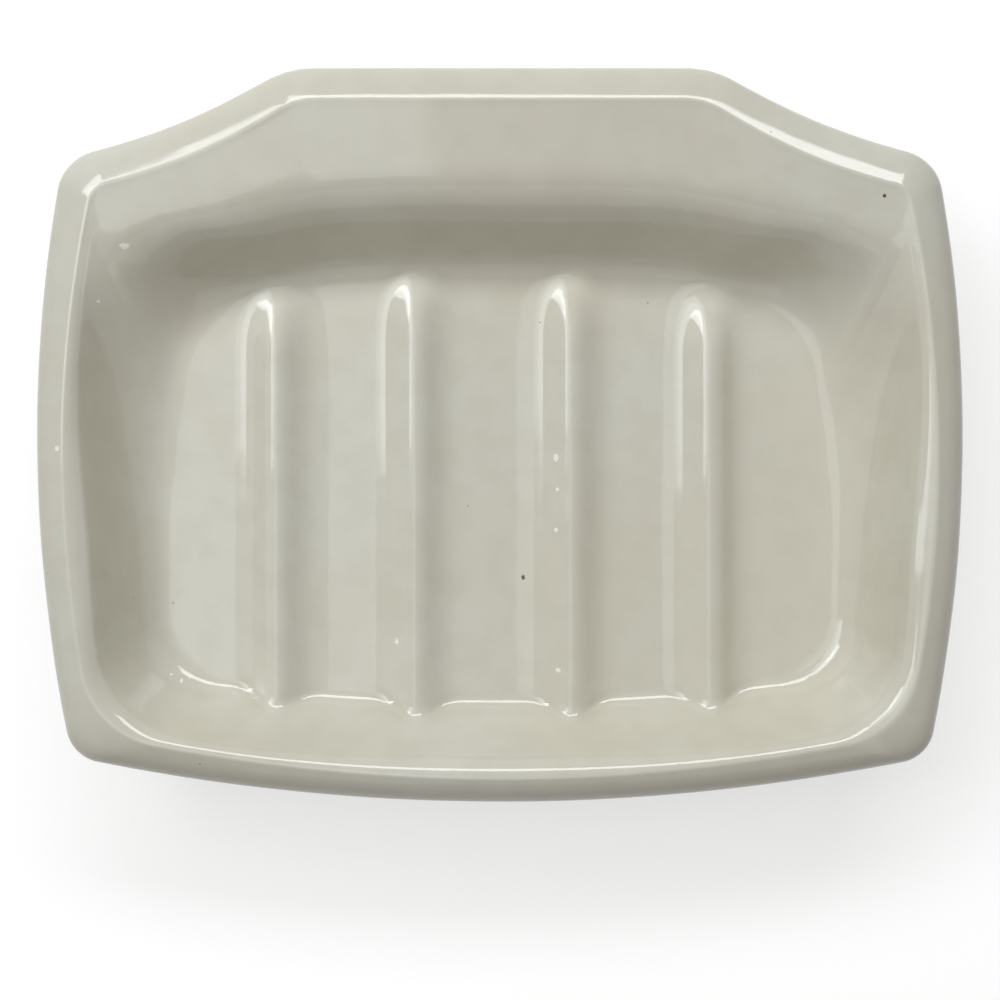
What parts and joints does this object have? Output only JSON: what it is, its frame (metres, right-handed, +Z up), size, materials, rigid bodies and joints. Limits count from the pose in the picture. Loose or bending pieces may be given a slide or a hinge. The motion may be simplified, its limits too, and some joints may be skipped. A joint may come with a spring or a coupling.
{
  "type": "soap dish",
  "caption": "Ivory glazed ceramic soap dish: a ribbed basin with coved walls, a rolled rim and a straight raised crest along the back edge.",
  "frame": {"origin": "centre of the overall box, on the plane the foot ring rests on", "axes": "+X to the right along the width, +Y towards the back edge with the raised crest, +Z up out of the basin"},
  "size_m": [0.1282, 0.1016, 0.022],
  "materials": {
    "bisque": "bare fired clay, matte",
    "glaze": "ivory gloss glaze"
  },
  "bodies": {
    "root": {"clay_body": "bisque", "glaze_coat": "glaze", "base_glaze": "glaze"}
  },
  "joints": []
}
